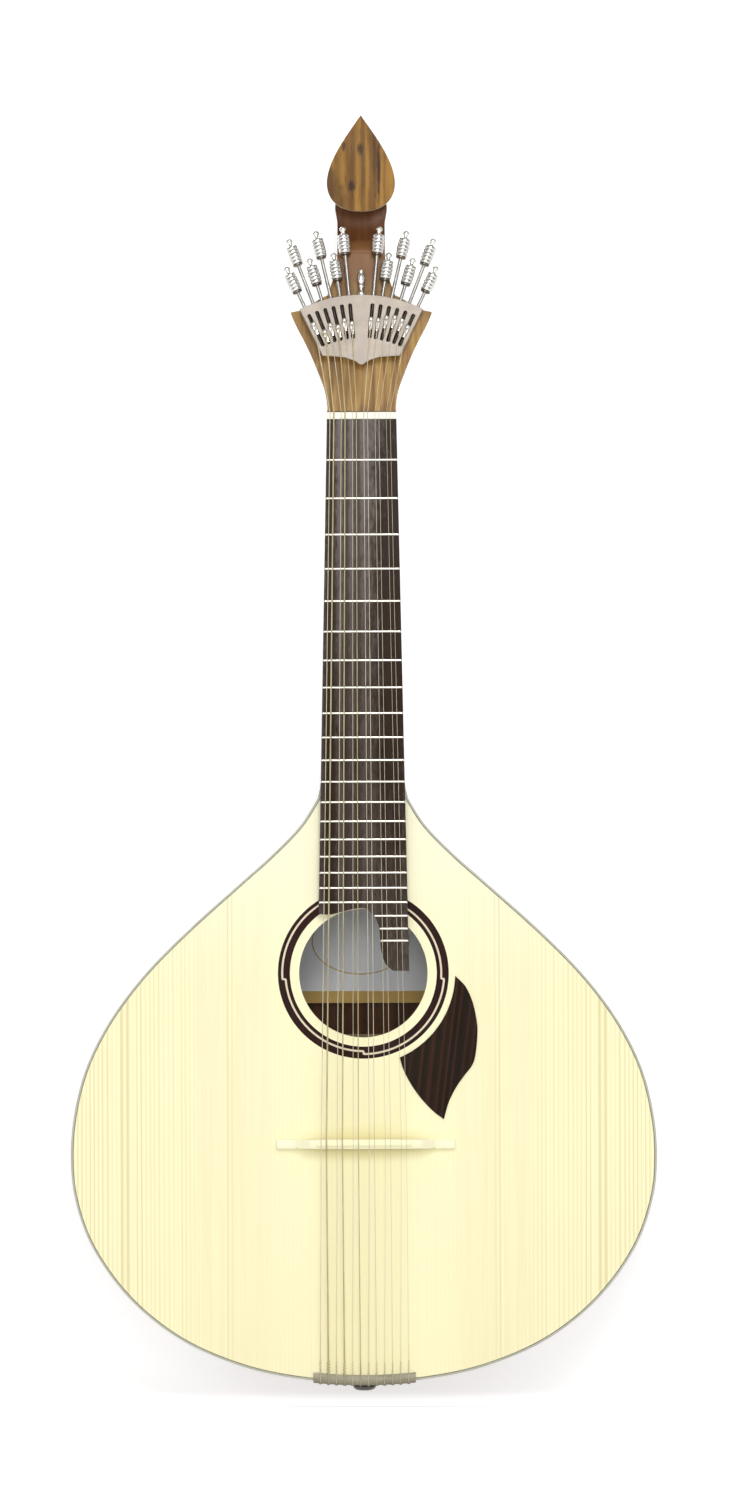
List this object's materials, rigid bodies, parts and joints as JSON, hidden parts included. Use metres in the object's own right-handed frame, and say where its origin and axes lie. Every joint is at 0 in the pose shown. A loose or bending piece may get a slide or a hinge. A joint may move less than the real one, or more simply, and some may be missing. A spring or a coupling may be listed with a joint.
{
  "type": "portuguese guitar",
  "caption": "Pear-shaped plucked guitar with paired steel strings, round soundhole, leaf pickguard, and a fan of tuning screws whose knurled knobs draw hooks along slots in a metal plate.",
  "frame": {"origin": "on the centre line at the nut's front edge, on the neck's flat face under the fretboard, where a wall hanger holds the neck below the head", "axes": "+X to the treble side, -Y out of the soundboard towards the player's right hand, +Z along the neck to the head"},
  "size_m": [0.38, 0.0991, 0.8285],
  "materials": {
    "spruce": "clear satin varnish over straight pale grain",
    "rosewood": "dark, fine grain, satin",
    "ribs_wood": "gloss varnish, reddish brown",
    "neck_wood": "satin varnish, reddish brown",
    "face_wood": "gloss varnish, golden brown with dark streaks",
    "inner_wood": "bare",
    "bone": "polished bone",
    "nickel": "satin nickel, slightly warm",
    "chrome": "polished",
    "tail_metal": "dull, bent sheet",
    "button_metal": "dark, polished",
    "string_wire": "bare wire"
  },
  "bodies": {
    "root": {"soundboard": "spruce", "rosette": "rosewood", "pickguard": "rosewood", "rib_bass": "ribs_wood", "rib_treble": "ribs_wood", "back_plate": "ribs_wood", "neck_block": "inner_wood", "tail_block": "inner_wood", "brace_top_upper": "inner_wood", "brace_top_lower": "inner_wood", "brace_back_upper": "inner_wood", "brace_back_lower": "inner_wood", "bridge": "bone", "saddle": "bone", "tailpiece": "tail_metal", "strap_button": "button_metal", "neck": "neck_wood", "fretboard": "rosewood", "nut": "bone", "head_veneer": "face_wood", "teardrop_face": "face_wood", "fan_frame": "nickel", "fan_plate": "nickel", "fan_finial": "chrome", "string_01": "string_wire", "string_02": "string_wire", "string_03": "string_wire", "string_04": "string_wire", "string_05": "string_wire", "string_06": "string_wire", "string_07": "string_wire", "string_08": "string_wire", "string_09": "string_wire", "string_10": "string_wire", "string_11": "string_wire", "string_12": "string_wire"},
    "screw_01": {"tuner_screw_01": "chrome"},
    "hook_01": {"tuner_hook_01": "chrome"},
    "screw_02": {"tuner_screw_02": "chrome"},
    "hook_02": {"tuner_hook_02": "chrome"},
    "screw_03": {"tuner_screw_03": "chrome"},
    "hook_03": {"tuner_hook_03": "chrome"},
    "screw_04": {"tuner_screw_04": "chrome"},
    "hook_04": {"tuner_hook_04": "chrome"},
    "screw_05": {"tuner_screw_05": "chrome"},
    "hook_05": {"tuner_hook_05": "chrome"},
    "screw_06": {"tuner_screw_06": "chrome"},
    "hook_06": {"tuner_hook_06": "chrome"},
    "screw_07": {"tuner_screw_07": "chrome"},
    "hook_07": {"tuner_hook_07": "chrome"},
    "screw_08": {"tuner_screw_08": "chrome"},
    "hook_08": {"tuner_hook_08": "chrome"},
    "screw_09": {"tuner_screw_09": "chrome"},
    "hook_09": {"tuner_hook_09": "chrome"},
    "screw_10": {"tuner_screw_10": "chrome"},
    "hook_10": {"tuner_hook_10": "chrome"},
    "screw_11": {"tuner_screw_11": "chrome"},
    "hook_11": {"tuner_hook_11": "chrome"},
    "screw_12": {"tuner_screw_12": "chrome"},
    "hook_12": {"tuner_hook_12": "chrome"}
  },
  "joints": [
    {"name": "screw_01_turn", "type": "hinge", "parent": "root", "child": "screw_01", "pos_m": [-0.04147, 0.01122, 0.08292], "axis": [-0.4147, 0.197, 0.8884], "range_deg": [-2983, 6789]},
    {"name": "hook_01_slide", "type": "slide", "parent": "root", "child": "hook_01", "axis": [-0.4147, 0.197, 0.8884], "range_m": [-0.0132, 0.0058], "deforming": ["string_01"]},
    {"name": "screw_02_turn", "type": "hinge", "parent": "root", "child": "screw_02", "pos_m": [-0.03518, 0.01178, 0.08547], "axis": [-0.3518, 0.2026, 0.9139], "range_deg": [-6840, 2932]},
    {"name": "hook_02_slide", "type": "slide", "parent": "root", "child": "hook_02", "axis": [-0.3518, 0.2026, 0.9139], "range_m": [-0.0057, 0.0133], "deforming": ["string_02"]},
    {"name": "screw_03_turn", "type": "hinge", "parent": "root", "child": "screw_03", "pos_m": [-0.02874, 0.01225, 0.0876], "axis": [-0.2874, 0.2073, 0.9351], "range_deg": [-5195, 4578]},
    {"name": "hook_03_slide", "type": "slide", "parent": "root", "child": "hook_03", "axis": [-0.2874, 0.2073, 0.9351], "range_m": [-0.0089, 0.0101], "deforming": ["string_03"]},
    {"name": "screw_04_turn", "type": "hinge", "parent": "root", "child": "screw_04", "pos_m": [-0.02215, 0.01263, 0.08929], "axis": [-0.2215, 0.2111, 0.952], "range_deg": [-6429, 3343]},
    {"name": "hook_04_slide", "type": "slide", "parent": "root", "child": "hook_04", "axis": [-0.2215, 0.2111, 0.952], "range_m": [-0.0065, 0.0125], "deforming": ["string_04"]},
    {"name": "screw_05_turn", "type": "hinge", "parent": "root", "child": "screw_05", "pos_m": [-0.01547, 0.01291, 0.09054], "axis": [-0.1547, 0.2138, 0.9645], "range_deg": [-4681, 5092]},
    {"name": "hook_05_slide", "type": "slide", "parent": "root", "child": "hook_05", "axis": [-0.1547, 0.2138, 0.9645], "range_m": [-0.0099, 0.0091], "deforming": ["string_05"]},
    {"name": "screw_06_turn", "type": "hinge", "parent": "root", "child": "screw_06", "pos_m": [-0.00889, 0.01308, 0.09133], "axis": [-0.0889, 0.2156, 0.9724], "range_deg": [-5966, 3806]},
    {"name": "hook_06_slide", "type": "slide", "parent": "root", "child": "hook_06", "axis": [-0.0889, 0.2156, 0.9724], "range_m": [-0.0074, 0.0116], "deforming": ["string_06"]},
    {"name": "screw_07_turn", "type": "hinge", "parent": "root", "child": "screw_07", "pos_m": [0.00889, 0.01308, 0.09133], "axis": [0.0889, 0.2156, 0.9724], "range_deg": [-4578, 5195]},
    {"name": "hook_07_slide", "type": "slide", "parent": "root", "child": "hook_07", "axis": [0.0889, 0.2156, 0.9724], "range_m": [-0.0101, 0.0089], "deforming": ["string_07"]},
    {"name": "screw_08_turn", "type": "hinge", "parent": "root", "child": "screw_08", "pos_m": [0.01547, 0.01291, 0.09054], "axis": [0.1547, 0.2138, 0.9645], "range_deg": [-4578, 5195]},
    {"name": "hook_08_slide", "type": "slide", "parent": "root", "child": "hook_08", "axis": [0.1547, 0.2138, 0.9645], "range_m": [-0.0101, 0.0089], "deforming": ["string_08"]},
    {"name": "screw_09_turn", "type": "hinge", "parent": "root", "child": "screw_09", "pos_m": [0.02215, 0.01263, 0.08929], "axis": [0.2215, 0.2111, 0.952], "range_deg": [-3292, 6480]},
    {"name": "hook_09_slide", "type": "slide", "parent": "root", "child": "hook_09", "axis": [0.2215, 0.2111, 0.952], "range_m": [-0.0126, 0.0064], "deforming": ["string_09"]},
    {"name": "screw_10_turn", "type": "hinge", "parent": "root", "child": "screw_10", "pos_m": [0.02874, 0.01225, 0.0876], "axis": [0.2874, 0.2073, 0.9351], "range_deg": [-2521, 7252]},
    {"name": "hook_10_slide", "type": "slide", "parent": "root", "child": "hook_10", "axis": [0.2874, 0.2073, 0.9351], "range_m": [-0.0141, 0.0049], "deforming": ["string_10"]},
    {"name": "screw_11_turn", "type": "hinge", "parent": "root", "child": "screw_11", "pos_m": [0.03518, 0.01178, 0.08547], "axis": [0.3518, 0.2026, 0.9139], "range_deg": [-2829, 6943]},
    {"name": "hook_11_slide", "type": "slide", "parent": "root", "child": "hook_11", "axis": [0.3518, 0.2026, 0.9139], "range_m": [-0.0135, 0.0055], "deforming": ["string_11"]},
    {"name": "screw_12_turn", "type": "hinge", "parent": "root", "child": "screw_12", "pos_m": [0.04147, 0.01122, 0.08292], "axis": [0.4147, 0.197, 0.8884], "range_deg": [-4166, 5606]},
    {"name": "hook_12_slide", "type": "slide", "parent": "root", "child": "hook_12", "axis": [0.4147, 0.197, 0.8884], "range_m": [-0.0109, 0.0081], "deforming": ["string_12"]}
  ],
  "couplings": [
    {"joint": "screw_01_turn", "follows": "hook_01_slide", "rad_per_m": -8976},
    {"joint": "screw_02_turn", "follows": "hook_02_slide", "rad_per_m": -8976},
    {"joint": "screw_03_turn", "follows": "hook_03_slide", "rad_per_m": -8976},
    {"joint": "screw_04_turn", "follows": "hook_04_slide", "rad_per_m": -8976},
    {"joint": "screw_05_turn", "follows": "hook_05_slide", "rad_per_m": -8976},
    {"joint": "screw_06_turn", "follows": "hook_06_slide", "rad_per_m": -8976},
    {"joint": "screw_07_turn", "follows": "hook_07_slide", "rad_per_m": -8976},
    {"joint": "screw_08_turn", "follows": "hook_08_slide", "rad_per_m": -8976},
    {"joint": "screw_09_turn", "follows": "hook_09_slide", "rad_per_m": -8976},
    {"joint": "screw_10_turn", "follows": "hook_10_slide", "rad_per_m": -8976},
    {"joint": "screw_11_turn", "follows": "hook_11_slide", "rad_per_m": -8976},
    {"joint": "screw_12_turn", "follows": "hook_12_slide", "rad_per_m": -8976}
  ]
}
